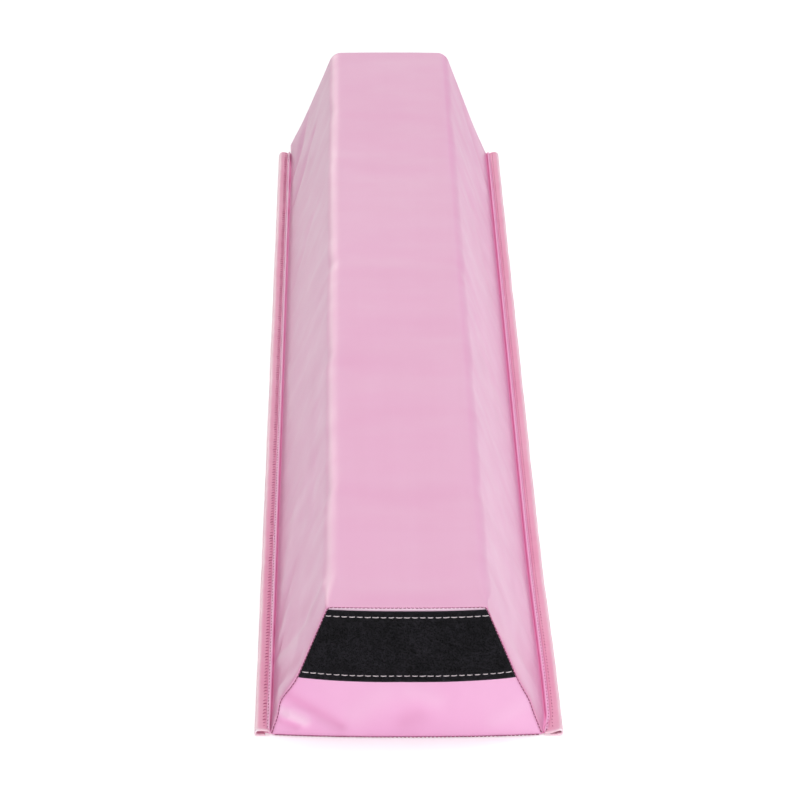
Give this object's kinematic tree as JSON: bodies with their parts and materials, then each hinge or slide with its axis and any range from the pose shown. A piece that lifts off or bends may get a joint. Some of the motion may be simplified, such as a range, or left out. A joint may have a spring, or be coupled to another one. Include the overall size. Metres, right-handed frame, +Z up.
{
  "type": "floor balance beam",
  "caption": "Low trapezoid floor balance beam: foam core in a sewn pink vinyl cover with flanged lower edges, hook-and-loop ends and a zip in its base.",
  "frame": {"origin": "on the floor under the middle of the beam", "axes": "+Z up, Y along the beam with the loop end at -Y and the hook end at +Y, X across"},
  "size_m": [0.197, 1.2032, 0.09],
  "materials": {
    "foam": "closed-cell polyethylene foam, dull",
    "cover_vinyl": "smooth coated vinyl with a soft sheen",
    "end_vinyl": "smooth coated vinyl with a soft sheen",
    "base_vinyl": "fine-grained vinyl, matt",
    "binding_vinyl": "folded vinyl strip, soft sheen",
    "loop_pile": "black brushed loop pile",
    "hook_pile": "black hook tape",
    "pale_thread": "off-white twisted polyester thread",
    "rose_thread": "dark rose twisted polyester thread",
    "pink_thread": "pink twisted polyester thread",
    "zip_tape": "woven polyester tape",
    "zip_teeth": "nylon coil",
    "zip_metal": "enamelled zinc alloy, semi-gloss"
  },
  "bodies": {
    "beam": {"foam_core_lower": "foam", "foam_core_upper": "foam", "cover_wrap": "cover_vinyl", "cover_base": "base_vinyl", "cover_end_loop": "end_vinyl", "cover_end_hook": "end_vinyl", "binding_left": "binding_vinyl", "binding_right": "binding_vinyl", "loop_strip": "loop_pile", "hook_strip": "hook_pile", "loop_strip_stitching": "pale_thread", "hook_strip_stitching": "pale_thread", "end_seam_thread_loop": "rose_thread", "end_seam_thread_hook": "rose_thread", "flange_stitching_left": "pink_thread", "flange_stitching_right": "pink_thread", "zip_tape_left": "zip_tape", "zip_tape_right": "zip_tape", "zip_coil_left": "zip_teeth", "zip_coil_right": "zip_teeth", "zip_stitching": "pink_thread", "zip_top_stops": "zip_metal", "zip_bottom_stop": "zip_metal"},
    "slider": {"zip_slider": "zip_metal"},
    "pull": {"zip_pull": "zip_metal"}
  },
  "joints": [
    {"name": "zip_run", "type": "slide", "parent": "beam", "child": "slider", "axis": [0, -1, 0], "range_m": [0, 1.03]},
    {"name": "pull_swing", "type": "hinge", "parent": "slider", "child": "pull", "pos_m": [0, 0.515, 0.0024], "axis": [1, 0, 0], "range_deg": [0, 180]}
  ]
}
